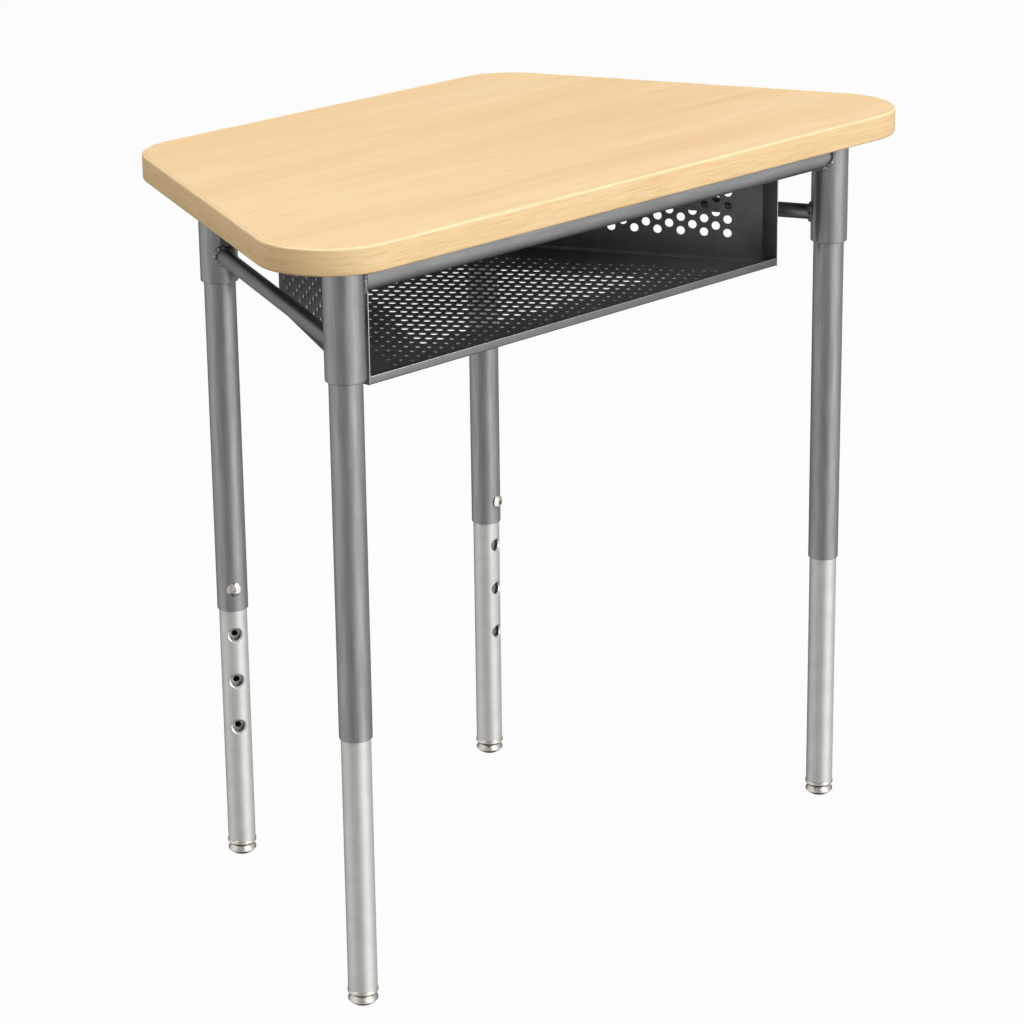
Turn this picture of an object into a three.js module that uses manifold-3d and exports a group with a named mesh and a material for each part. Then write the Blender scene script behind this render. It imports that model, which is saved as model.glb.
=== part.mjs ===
import * as THREE from "three";
import { mergeVertices } from "three/addons/utils/BufferGeometryUtils.js";
import Module from "manifold-3d";

// Adjustable school desk, millimetres, +Z up. X runs along the sitter's edge, and the sitter is at -Y.
// The origin is on the floor, under the middle of the worktop's box.

const wasm = await Module();
wasm.setup();

// Clearances
const fitGap = 0.3;
const slideGap = 0.375;
const cutOverrun = 2;
const weldTolerance = 0.0001;

// Worktop. Its front and back lengths run to where the side lines meet them, before the corners are rounded.
const deskHeight = 762;
const topThick = 25.4;
const topFrontLength = 914.4;
const topBackLength = 508;
const topDepth = 457.2;
const topCornerRadius = 70;
const bandThick = 3;
const bandArris = 2.4;
const laminateThick = 0.8;
const backerThick = 0.6;

// Legs. The insets run from the worktop's edges to the legs' centres, those at the sides along X.
const legFrontInset = 61;
const legRearInset = 45.6;
const frontLegSideInset = 85.6;
const rearLegSideInset = 87.8;
const socketDiameter = 38.1;
const socketLength = 113.4;
const upperTubeDiameter = 31.75;
const upperTubeWall = 1.2;
const upperTubeEnd = 275;
const upperTubeHeadroom = 12;
const insertWall = 1.2;
const insertHidden = 82;
const adjustPitch = 50.8;
const adjustHoles = 4;
const adjustHoleDiameter = 12;

// Leg screws
const legScrewAboveEnd = 24;
const legScrewHeadDiameter = 14.4;
const legScrewHeadThick = 3.4;
const legScrewFaceDiameter = 9;
const legScrewShankDiameter = 6;
const legScrewHeadings = [45, 45, 235, 280];

// Glides
const footHeight = 10.4;
const footBaseDiameter = 17;
const footDiameter = 29;
const footTopDiameter = 23;
const footRounding = 4;
const collarGap = 1.6;
const collarHeight = 4.2;
const collarOverhang = 0.6;
const collarRounding = 1.2;
const plugLength = 22;
const ballDiameter = 10;
const ballHeight = 6;
const ballStemDiameter = 6;
const ballGap = 0.4;
const cupMouthDegrees = 38;

// Rails
const railDiameter = 28.6;
const railWall = 1.5;
const railDrop = 20.5;
const sideRailDiameter = 15.9;
const sideRailWall = 1.2;
const sideRailRise = 28.4;

// Fixing tabs and wood screws
const tabThick = 3;
const tabWidth = 22;
const tabReach = 30;
const woodScrewHeadDiameter = 9.5;
const woodScrewHeadThick = 2.6;
const woodScrewFaceDiameter = 6;
const woodScrewShankDiameter = 4.2;
const woodScrewBite = 14;

// Book box. The two clearances of its rear corners run to the centres of the rear legs.
const boxSheet = 1;
const boxFrontSetback = 24.6;
const boxSideClearance = 34;
const boxSquareRun = 20;
const boxRearClearance = 65;
const boxRearSideClearance = 20.6;
const boxFloorDrop = 135.6;
const boxLipHeight = 8.4;
const boxFlange = 14;
const flangeEndMargin = 10;
const rearFlangeScrews = 2;
const sideFlangeScrews = 3;

// Perforation of the box's side walls: upright columns, every other one half a pitch higher
const perfDiameter = 9;
const perfPitch = 14.4;
const perfColumnSpacing = 12.5;
const perfFloorMargin = 29.4;
const perfTopMargin = 22;
const perfFrontMargin = 37.6;
const perfRearMargin = 16;

// Facets
const tubeSides = 20;
const railSides = 16;
const sideRailSides = 12;
const glideSides = 16;
const screwSides = 8;
const cornerSegments = 8;
const tabSegments = 8;
const arrisSegments = 2;
const arcSteps = 4;
const perfSides = 6;

const socketRadius = socketDiameter / 2;
const upperTubeRadius = upperTubeDiameter / 2;
const insertRadius = upperTubeRadius - upperTubeWall - slideGap;

const undersideZ = deskHeight - topThick;
const socketBottomZ = undersideZ - socketLength;
const railZ = undersideZ - railDrop;
const sideRailZ = socketBottomZ + sideRailRise;
const collarZ = footHeight + collarGap;
const insertBottomZ = collarZ + collarHeight + fitGap;
const insertTopZ = upperTubeEnd + insertHidden;
const legScrewZ = upperTubeEnd + legScrewAboveEnd;
const boxFloorZ = undersideZ - boxFloorDrop;

// The worktop's sides lean in towards the back.
const topLean = Math.atan((topFrontLength - topBackLength) / 2 / topDepth);

function topSideX(y) {
  return (topFrontLength + topBackLength) / 4 - y * Math.tan(topLean);
}

const frontLegY = legFrontInset - topDepth / 2;
const rearLegY = topDepth / 2 - legRearInset;
const frontLegX = topSideX(frontLegY) - frontLegSideInset;
const rearLegX = topSideX(rearLegY) - rearLegSideInset;

// The line from a front leg to the rear leg on its side, which the front legs' fixing tabs follow.
const sideAngle = Math.atan2(frontLegX - rearLegX, rearLegY - frontLegY);
const sideDegrees = THREE.MathUtils.radToDeg(sideAngle);

// The box's side walls run square for a little at the front, and then lean in towards the rear wall.
const boxHalf = frontLegX - socketRadius - boxSideClearance;
const boxRearHalf = rearLegX - boxRearSideClearance;
const boxFrontY = frontLegY + boxFrontSetback;
const boxBendY = boxFrontY + boxSquareRun;
const boxRearY = rearLegY - boxRearClearance;
const boxLean = Math.atan2(boxHalf - boxRearHalf, boxRearY - boxBendY);
const slantLength = (boxRearY - boxBendY) / Math.cos(boxLean);

const legs = [
  { name: "front_left", x: -frontLegX, y: frontLegY, tabHeading: 90 - sideDegrees },
  { name: "front_right", x: frontLegX, y: frontLegY, tabHeading: 90 + sideDegrees },
  { name: "rear_left", x: -rearLegX, y: rearLegY, tabHeading: -45 },
  { name: "rear_right", x: rearLegX, y: rearLegY, tabHeading: -135 },
];
legs.forEach((leg, i) => {
  leg.screwHeading = legScrewHeadings[i];
});

const finishes = {
  maple: new THREE.MeshStandardMaterial({ color: 0xf2d3a2, roughness: 0.45 }),
  core: new THREE.MeshStandardMaterial({ color: 0xb99b6f, roughness: 0.9 }),
  backer: new THREE.MeshStandardMaterial({ color: 0x6b5a48, roughness: 0.8 }),
  paint: new THREE.MeshStandardMaterial({ color: 0x7d7d7b, roughness: 0.4, metalness: 0.5 }),
  boxPaint: new THREE.MeshStandardMaterial({ color: 0x555454, roughness: 0.45, metalness: 0.4 }),
  nickel: new THREE.MeshStandardMaterial({ color: 0xd8d6d0, roughness: 0.18, metalness: 1 }),
  zinc: new THREE.MeshStandardMaterial({ color: 0xb9b9b4, roughness: 0.35, metalness: 1 }),
};

const desk = new THREE.Group();

function addPiece(name, geometry, finish) {
  const mesh = new THREE.Mesh(geometry, finishes[finish].clone());
  mesh.name = name;
  desk.add(mesh);
  return mesh;
}

// Solids and booleans

function toSolid(geometry) {
  const bare = geometry.clone();
  Object.keys(bare.attributes)
    .filter((key) => key !== "position")
    .forEach((key) => bare.deleteAttribute(key));
  const merged = mergeVertices(bare, weldTolerance);
  return new wasm.Manifold(
    new wasm.Mesh({
      numProp: 3,
      vertProperties: merged.attributes.position.array,
      triVerts: new Uint32Array(merged.index.array),
    }),
  );
}

function toGeometry(solid) {
  const mesh = solid.getMesh();
  const geometry = new THREE.BufferGeometry();
  geometry.setAttribute("position", new THREE.Float32BufferAttribute(mesh.vertProperties, mesh.numProp));
  geometry.setIndex(new THREE.BufferAttribute(new Uint32Array(mesh.triVerts), 1));
  geometry.computeVertexNormals();
  return geometry;
}

function cut(geometry, cutters) {
  const tools = cutters.map(toSolid);
  return toGeometry(tools.reduce((solid, tool) => solid.subtract(tool), toSolid(geometry)));
}

function join(...geometries) {
  return toGeometry(geometries.map(toSolid).reduce((solid, other) => solid.add(other)));
}

// A flat plate of a plan outline, whose faces lie exactly at the two heights.
function slab(outline, lowZ, highZ, arcSegments = cornerSegments) {
  const geometry = new THREE.ExtrudeGeometry(outline, {
    depth: highZ - lowZ,
    bevelEnabled: false,
    curveSegments: arcSegments / 2,
  });
  const position = geometry.attributes.position;
  for (let i = 0; i < position.count; i += 1) {
    position.setZ(i, position.getZ(i) > 0 ? highZ : lowZ);
  }
  return geometry;
}

// A turned piece about +Z from [radius, height] pairs that go up the outside.
function turned(profile, sides) {
  const points = profile.map(([radius, height]) => new THREE.Vector2(radius, height));
  return new THREE.LatheGeometry(points, sides).rotateX(Math.PI / 2);
}

function rod(radius, lowZ, highZ, sides) {
  return turned([[0, lowZ], [radius, lowZ], [radius, highZ], [0, highZ]], sides);
}

function pipe(outerRadius, innerRadius, lowZ, highZ, sides) {
  const ring = [[innerRadius, lowZ], [outerRadius, lowZ], [outerRadius, highZ], [innerRadius, highZ]];
  return turned([...ring, ring[0]], sides);
}

// Turns a piece made about +Z so that its axis points along a heading in plan, at a place.
function layAlong(geometry, headingDegrees, x, y, z) {
  return geometry
    .rotateY(Math.PI / 2)
    .rotateZ(THREE.MathUtils.degToRad(headingDegrees))
    .translate(x, y, z);
}

function polygon(points) {
  return new THREE.Shape(points.map(([x, y]) => new THREE.Vector2(x, y)));
}

function range(count) {
  return Array.from({ length: count }, (_, i) => i);
}

// Worktop

// The four corners of the trapezoid: arc centres and the headings between which each arc turns.
function worktopCorners() {
  const centreY = topDepth / 2 - topCornerRadius;
  const centreX = (y) => topSideX(y) - topCornerRadius / Math.cos(topLean);
  const quarter = Math.PI / 2;
  return [
    { x: centreX(-centreY), y: -centreY, from: -quarter, to: topLean },
    { x: centreX(centreY), y: centreY, from: topLean, to: quarter },
    { x: -centreX(centreY), y: centreY, from: quarter, to: Math.PI - topLean },
    { x: -centreX(-centreY), y: -centreY, from: Math.PI - topLean, to: Math.PI + quarter },
  ];
}

function worktopOutline(inset) {
  const outline = new THREE.Shape();
  worktopCorners().forEach(({ x, y, from, to }) => {
    outline.absarc(x, y, topCornerRadius - inset, from, to, false);
  });
  outline.closePath();
  return outline;
}

// The band's section as [inset from the outline, height], from its inner face round its eased outer arrises.
function bandSection() {
  const ease = range(arrisSegments + 1).map((i) => {
    const turn = (Math.PI / 2) * (i / arrisSegments);
    return [bandArris * (1 - Math.sin(turn)), bandArris * (1 - Math.cos(turn))];
  });
  return [
    [bandThick, deskHeight],
    [bandThick, undersideZ],
    ...ease.map(([inset, rise]) => [inset, undersideZ + rise]),
    ...ease.slice().reverse().map(([inset, rise]) => [inset, deskHeight - rise]),
  ];
}

// Skins a closed loop of rings that all have the same number of points.
function skinLoop(rings) {
  const size = rings[0].length;
  const faces = rings.flatMap((_, i) => {
    const [here, next] = [i * size, ((i + 1) % rings.length) * size];
    return range(size).flatMap((j) => {
      const up = (j + 1) % size;
      return [here + j, next + j, next + up, here + j, next + up, here + up];
    });
  });
  const geometry = new THREE.BufferGeometry();
  geometry.setAttribute("position", new THREE.Float32BufferAttribute(rings.flat(2), 3));
  geometry.setIndex(faces);
  geometry.computeVertexNormals();
  return geometry;
}

function edgeBand() {
  const section = bandSection();
  const rings = worktopCorners().flatMap(({ x, y, from, to }) =>
    range(cornerSegments + 1).map((i) => {
      const turn = from + (to - from) * (i / cornerSegments);
      return section.map(([inset, height]) => {
        const reach = topCornerRadius - inset;
        return [x + reach * Math.cos(turn), y + reach * Math.sin(turn), height];
      });
    }),
  );
  return skinLoop(rings);
}

// Where wood screws go up into the worktop: one through each socket's tab, and those of the box flanges.
function tabScrewPlaces() {
  const reach = socketRadius + tabReach - tabWidth / 2;
  return legs.map(({ name, x, y, tabHeading }) => {
    const heading = THREE.MathUtils.degToRad(tabHeading);
    return { name: `tab_screw_${name}`, x: x + reach * Math.cos(heading), y: y + reach * Math.sin(heading) };
  });
}

// A place on a side wall's slanted outer face: a distance back from the bend, and one outwards.
function sideWallPlace(side, back, outwards) {
  return {
    x: side * (boxHalf - back * Math.sin(boxLean) + outwards * Math.cos(boxLean)),
    y: boxBendY + back * Math.cos(boxLean) + outwards * Math.sin(boxLean),
  };
}

function flangeScrewPlaces() {
  const sidePlaces = (side, name) =>
    range(sideFlangeScrews).map((i) => {
      const back = slantLength * ((i + 1 / 2) / sideFlangeScrews);
      return { name: `box_screw_${name}_${i + 1}`, ...sideWallPlace(side, back, boxFlange / 2) };
    });
  const rearPlaces = range(rearFlangeScrews).map((i) => {
    const x = boxRearHalf * ((2 * i + 1) / rearFlangeScrews - 1);
    return { name: `box_screw_rear_${i + 1}`, x, y: boxRearY + boxFlange / 2 };
  });
  return [...sidePlaces(-1, "left"), ...sidePlaces(1, "right"), ...rearPlaces];
}

function screwHole(place, lowZ, highZ) {
  const radius = woodScrewShankDiameter / 2 + fitGap;
  return rod(radius, lowZ, highZ, screwSides).translate(place.x, place.y, 0);
}

function addWorktop() {
  const places = [...tabScrewPlaces(), ...flangeScrewPlaces()];
  const coreLowZ = undersideZ + backerThick;
  const coreHighZ = deskHeight - laminateThick;
  const sheet = worktopOutline(bandThick + fitGap);
  const pilotTopZ = undersideZ + woodScrewBite + fitGap;
  const pilots = () => places.map((place) => screwHole(place, undersideZ - cutOverrun, pilotTopZ));
  addPiece("worktop_core", cut(slab(sheet, coreLowZ, coreHighZ), pilots()), "core");
  addPiece("worktop_laminate", slab(sheet, coreHighZ, deskHeight), "maple");
  addPiece("worktop_backer", cut(slab(sheet, undersideZ, coreLowZ), pilots()), "backer");
  addPiece("edge_band", edgeBand(), "maple");
}

// A pan-head wood screw whose head bears up against a sheet at the given height.
function woodScrew(place, seatZ) {
  const headRadius = woodScrewHeadDiameter / 2;
  const shankRadius = woodScrewShankDiameter / 2;
  const headBottomZ = seatZ - woodScrewHeadThick;
  const tipZ = undersideZ + woodScrewBite;
  const profile = [
    [0, headBottomZ],
    [woodScrewFaceDiameter / 2, headBottomZ],
    [headRadius, headBottomZ + woodScrewHeadThick / 2],
    [headRadius, seatZ],
    [shankRadius, seatZ],
    [shankRadius, tipZ - woodScrewShankDiameter],
    [0, tipZ],
  ];
  return turned(profile, screwSides).translate(place.x, place.y, 0);
}

// Frame

function socketCutters() {
  return legs.map(({ x, y }) =>
    rod(socketRadius + fitGap, socketBottomZ, undersideZ, tubeSides).translate(x, y, 0),
  );
}

function addSockets() {
  const bore = upperTubeRadius + fitGap;
  legs.forEach(({ name, x, y }) => {
    const socket = pipe(socketRadius, bore, socketBottomZ, undersideZ, tubeSides);
    addPiece(`socket_${name}`, socket.translate(x, y, 0), "paint");
  });
}

function addTabs() {
  const reach = socketRadius + tabReach - tabWidth / 2;
  const lowZ = undersideZ - tabThick;
  const places = tabScrewPlaces();
  legs.forEach(({ name, x, y, tabHeading }, i) => {
    const outline = new THREE.Shape();
    outline.moveTo(0, -tabWidth / 2);
    outline.absarc(reach, 0, tabWidth / 2, -Math.PI / 2, Math.PI / 2, false);
    outline.lineTo(0, tabWidth / 2);
    outline.closePath();
    const tab = slab(outline, lowZ, undersideZ, tabSegments)
      .rotateZ(THREE.MathUtils.degToRad(tabHeading))
      .translate(x, y, 0);
    const cutters = [
      rod(socketRadius + fitGap, lowZ - cutOverrun, undersideZ + cutOverrun, tubeSides).translate(x, y, 0),
      screwHole(places[i], lowZ - cutOverrun, undersideZ + cutOverrun),
    ];
    addPiece(`fixing_tab_${name}`, cut(tab, cutters), "paint");
    addPiece(places[i].name, woodScrew(places[i], lowZ), "zinc");
  });
}

// A rail between two sockets, coped to both.
function rail(from, to, z, diameter, wall, sides) {
  const run = Math.hypot(to.x - from.x, to.y - from.y);
  const heading = THREE.MathUtils.radToDeg(Math.atan2(to.y - from.y, to.x - from.x));
  const tube = pipe(diameter / 2, diameter / 2 - wall, 0, run, sides);
  return cut(layAlong(tube, heading, from.x, from.y, z), socketCutters());
}

function addRails() {
  const [frontLeft, frontRight, rearLeft, rearRight] = legs;
  const main = [railZ, railDiameter, railWall, railSides];
  const side = [sideRailZ, sideRailDiameter, sideRailWall, sideRailSides];
  addPiece("front_rail", rail(frontLeft, frontRight, ...main), "paint");
  addPiece("rear_rail", rail(rearLeft, rearRight, ...main), "paint");
  addPiece("side_rail_left", rail(frontLeft, rearLeft, ...side), "paint");
  addPiece("side_rail_right", rail(frontRight, rearRight, ...side), "paint");
}

// Legs

function radialHole(leg, diameter, z) {
  const drill = rod(diameter / 2, 0, socketDiameter, screwSides);
  return layAlong(drill, leg.screwHeading, leg.x, leg.y, z);
}

function addUpperTubes() {
  const topZ = undersideZ - upperTubeHeadroom;
  const bore = upperTubeRadius - upperTubeWall;
  legs.forEach((leg) => {
    const tube = pipe(upperTubeRadius, bore, upperTubeEnd, topZ, tubeSides).translate(leg.x, leg.y, 0);
    const hole = radialHole(leg, legScrewShankDiameter + 2 * fitGap, legScrewZ);
    addPiece(`leg_tube_${leg.name}`, cut(tube, [hole]), "paint");
  });
}

function addInserts() {
  const bore = insertRadius - insertWall;
  legs.forEach((leg) => {
    const tube = pipe(insertRadius, bore, insertBottomZ, insertTopZ, tubeSides).translate(leg.x, leg.y, 0);
    const holes = range(adjustHoles).map((i) =>
      radialHole(leg, adjustHoleDiameter, legScrewZ - i * adjustPitch),
    );
    addPiece(`leg_insert_${leg.name}`, cut(tube, holes), "nickel");
  });
}

// The shank ends short of the insert, so that the insert can slide past it.
function addLegScrews() {
  const seat = upperTubeRadius + fitGap;
  const headTop = seat + legScrewHeadThick;
  const headRadius = legScrewHeadDiameter / 2;
  const shankRadius = legScrewShankDiameter / 2;
  const shankEnd = insertRadius + fitGap;
  legs.forEach((leg) => {
    const profile = [
      [0, shankEnd],
      [shankRadius, shankEnd],
      [shankRadius, seat],
      [headRadius, seat],
      [headRadius, seat + legScrewHeadThick / 3],
      [legScrewFaceDiameter / 2, headTop],
      [0, headTop],
    ];
    const screw = layAlong(turned(profile, screwSides), leg.screwHeading, leg.x, leg.y, legScrewZ);
    addPiece(`leg_screw_${leg.name}`, screw, "nickel");
  });
}

function arcPoints(centreZ, radius, fromDegrees, toDegrees) {
  return range(arcSteps + 1).map((i) => {
    const turn = THREE.MathUtils.degToRad(fromDegrees + (toDegrees - fromDegrees) * (i / arcSteps));
    return [radius * Math.cos(turn), centreZ + radius * Math.sin(turn)];
  });
}

// The plug fills the insert's end. Its collar meets the insert, and the ball under its stem sits in the foot.
function glidePlug() {
  const ballRadius = ballDiameter / 2;
  const stemRadius = ballStemDiameter / 2;
  const collarRadius = insertRadius + collarOverhang;
  const collarTopZ = collarZ + collarHeight;
  const plugRadius = insertRadius - insertWall - fitGap;
  const neckDegrees = THREE.MathUtils.radToDeg(Math.acos(stemRadius / ballRadius));
  const profile = [
    [0, ballHeight - ballRadius],
    ...arcPoints(ballHeight, ballRadius, -60, neckDegrees),
    [stemRadius, collarZ],
    [collarRadius - collarRounding, collarZ],
    [collarRadius, collarZ + collarRounding],
    [collarRadius, collarTopZ],
    [plugRadius, collarTopZ],
    [plugRadius, collarTopZ + plugLength],
    [0, collarTopZ + plugLength],
  ];
  return turned(profile, glideSides);
}

// The foot is a cup that closes round the ball, open at the top for the stem.
function glideFoot() {
  const cupRadius = ballDiameter / 2 + ballGap;
  const cup = arcPoints(ballHeight, cupRadius, cupMouthDegrees, -60);
  const [mouthRadius] = cup[0];
  const profile = [
    [0, 0],
    [footBaseDiameter / 2, 0],
    [footDiameter / 2, footRounding],
    [footDiameter / 2, footHeight - footRounding],
    [footTopDiameter / 2, footHeight],
    [mouthRadius, footHeight],
    ...cup,
    [0, ballHeight - cupRadius],
  ];
  return turned(profile, glideSides);
}

function addGlides() {
  legs.forEach(({ name, x, y }) => {
    addPiece(`glide_plug_${name}`, glidePlug().translate(x, y, 0), "nickel");
    addPiece(`glide_foot_${name}`, glideFoot().translate(x, y, 0), "nickel");
  });
}

// Book box

function perforation(x, y) {
  const corners = range(perfSides).map((i) => {
    const turn = 2 * Math.PI * (i / perfSides);
    const reach = perfDiameter / 2;
    return new THREE.Vector2(x + reach * Math.cos(turn), y + reach * Math.sin(turn));
  });
  return new THREE.Path(corners);
}

function perforations(length, height) {
  const columns = Math.floor((length - perfFrontMargin - perfRearMargin) / perfColumnSpacing) + 1;
  const rowSpan = height - perfFloorMargin - perfTopMargin - perfPitch / 2;
  const rows = Math.floor(rowSpan / perfPitch) + 1;
  return range(columns).flatMap((i) =>
    range(rows).map((j) => {
      const lift = (j + (i % 2) / 2) * perfPitch;
      return perforation(perfFrontMargin + i * perfColumnSpacing, perfFloorMargin + lift);
    }),
  );
}

// The slanted, perforated part of a side wall, from the bend to the rear corner.
function slantedSheet(side) {
  const height = undersideZ - boxFloorZ;
  const sheet = polygon([[0, 0], [slantLength, 0], [slantLength, height], [0, height]]);
  sheet.holes.push(...perforations(slantLength, height));
  const bend = sideWallPlace(side, 0, 0);
  return new THREE.ExtrudeGeometry(sheet, { depth: boxSheet, bevelEnabled: false })
    .rotateX(Math.PI / 2)
    .translate(0, side > 0 ? boxSheet : 0, boxFloorZ)
    .rotateZ(Math.PI / 2 + side * boxLean)
    .translate(bend.x, bend.y, 0);
}

// The part in front of the bend, which runs straight back. Its end is tucked into the slanted sheet.
function squareSheet(side) {
  const innerX = boxHalf - boxSheet;
  const outline = [
    [boxHalf, boxFrontY],
    [boxHalf, boxBendY],
    [innerX, boxBendY + boxSheet / 2],
    [innerX, boxFrontY],
  ];
  return slab(polygon(outline.map(([x, y]) => [side * x, y])), boxFloorZ, undersideZ);
}

function sideFlange(side) {
  const outline = [
    [flangeEndMargin, -boxSheet / 2],
    [flangeEndMargin, 0],
    [flangeEndMargin + boxFlange, boxFlange],
    [slantLength - boxFlange, boxFlange],
    [slantLength, 0],
    [slantLength, -boxSheet / 2],
  ];
  const corners = outline.map(([back, outwards]) => {
    const { x, y } = sideWallPlace(side, back, outwards);
    return [x, y];
  });
  return slab(polygon(corners), undersideZ - boxSheet, undersideZ);
}

function rearFlange(half) {
  const outline = [
    [-half, boxRearY - boxSheet / 2],
    [half, boxRearY - boxSheet / 2],
    [half, boxRearY],
    [half - boxFlange, boxRearY + boxFlange],
    [boxFlange - half, boxRearY + boxFlange],
    [-half, boxRearY],
  ];
  return slab(polygon(outline), undersideZ - boxSheet, undersideZ);
}

function flangeHoles(wallName) {
  return flangeScrewPlaces()
    .filter(({ name }) => name.includes(wallName))
    .map((place) => screwHole(place, undersideZ - boxSheet - cutOverrun, undersideZ + cutOverrun));
}

function addSideWall(side, name) {
  const wall = join(slantedSheet(side), squareSheet(side), sideFlange(side));
  addPiece(`book_box_${name}_wall`, cut(wall, flangeHoles(name)), "boxPaint");
}

// How far the inside of the side walls is from the middle, at a depth behind the bend.
function insideHalf(y) {
  return boxHalf - boxSheet / Math.cos(boxLean) - fitGap - (y - boxBendY) * Math.tan(boxLean);
}

function addRearWall() {
  const half = insideHalf(boxRearY);
  const innerY = boxRearY - boxSheet;
  const sheet = polygon([[-half, innerY], [half, innerY], [half, boxRearY], [-half, boxRearY]]);
  const wall = join(slab(sheet, boxFloorZ, undersideZ), rearFlange(half - flangeEndMargin));
  addPiece("book_box_rear_wall", cut(wall, flangeHoles("rear")), "boxPaint");
}

// The floor's front edge is turned up into a lip.
function addBoxFloor() {
  const frontHalf = boxHalf - boxSheet - fitGap;
  const bendY = boxBendY - boxSheet;
  const rearY = boxRearY - boxSheet - fitGap;
  const plate = polygon([
    [-frontHalf, boxFrontY],
    [frontHalf, boxFrontY],
    [frontHalf, bendY],
    [insideHalf(rearY), rearY],
    [-insideHalf(rearY), rearY],
    [-frontHalf, bendY],
  ]);
  const lip = polygon([
    [-frontHalf, boxFrontY],
    [frontHalf, boxFrontY],
    [frontHalf, boxFrontY + boxSheet],
    [-frontHalf, boxFrontY + boxSheet],
  ]);
  const floorSheet = slab(plate, boxFloorZ, boxFloorZ + boxSheet);
  addPiece("book_box_floor", join(floorSheet, slab(lip, boxFloorZ, boxFloorZ + boxLipHeight)), "boxPaint");
}

function addBookBox() {
  addBoxFloor();
  addSideWall(-1, "left");
  addSideWall(1, "right");
  addRearWall();
  flangeScrewPlaces().forEach((place) => {
    addPiece(place.name, woodScrew(place, undersideZ - boxSheet), "zinc");
  });
}

addWorktop();
addSockets();
addTabs();
addRails();
addUpperTubes();
addInserts();
addLegScrews();
addGlides();
addBookBox();

export default desk;
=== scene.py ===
from math import acos, asin, atan2, cos, pi, radians, sin, sqrt, tan

import bmesh
import bpy
from mathutils import Matrix, Vector


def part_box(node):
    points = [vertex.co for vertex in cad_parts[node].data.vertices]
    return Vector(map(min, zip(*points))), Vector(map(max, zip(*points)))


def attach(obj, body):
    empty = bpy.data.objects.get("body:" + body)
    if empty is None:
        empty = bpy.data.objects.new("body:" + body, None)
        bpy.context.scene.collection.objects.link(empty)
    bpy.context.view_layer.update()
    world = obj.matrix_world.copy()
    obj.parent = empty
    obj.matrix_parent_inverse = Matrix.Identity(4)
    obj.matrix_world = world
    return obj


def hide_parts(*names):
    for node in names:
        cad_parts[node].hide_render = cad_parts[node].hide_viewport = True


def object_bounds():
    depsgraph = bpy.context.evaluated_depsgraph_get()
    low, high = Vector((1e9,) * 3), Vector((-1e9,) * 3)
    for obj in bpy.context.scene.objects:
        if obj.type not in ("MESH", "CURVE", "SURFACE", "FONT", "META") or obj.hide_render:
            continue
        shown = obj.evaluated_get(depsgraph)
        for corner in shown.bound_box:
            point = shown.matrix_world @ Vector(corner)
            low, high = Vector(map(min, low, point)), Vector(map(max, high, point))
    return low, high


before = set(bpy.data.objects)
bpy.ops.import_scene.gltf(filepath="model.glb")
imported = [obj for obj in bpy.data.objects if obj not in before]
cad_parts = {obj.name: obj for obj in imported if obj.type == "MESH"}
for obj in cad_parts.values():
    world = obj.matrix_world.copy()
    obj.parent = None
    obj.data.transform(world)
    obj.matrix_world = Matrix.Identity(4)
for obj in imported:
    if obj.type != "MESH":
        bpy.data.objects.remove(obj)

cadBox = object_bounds()
deskTop = cadBox[1][2]
mm = 0.001
nearly = 1e-7
legNames = ["front_left", "front_right", "rear_left", "rear_right"]
print("frame loaded,", len(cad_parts), "nodes")


def operator(operation):
    return lambda wire, other: wire.tree.math(operation, wire, other)


# A node's socket. Sums and products of wires add their Math nodes.
class Wire:
    def __init__(self, tree, socket):
        self.tree = tree
        self.socket = socket

    def __rsub__(self, other):
        return self.tree.math("SUBTRACT", other, self)

    __add__ = __radd__ = operator("ADD")
    __sub__ = operator("SUBTRACT")
    __mul__ = operator("MULTIPLY")
    __truediv__ = operator("DIVIDE")


# The photo's 8-bit colour as the linear values that shaders take
def colour(levels):
    shares = [level / 255 for level in levels]
    linear = [c / 12.92 if c <= 0.04045 else ((c + 0.055) / 1.055) ** 2.4 for c in shares]
    return (*linear, 1.0)


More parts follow.
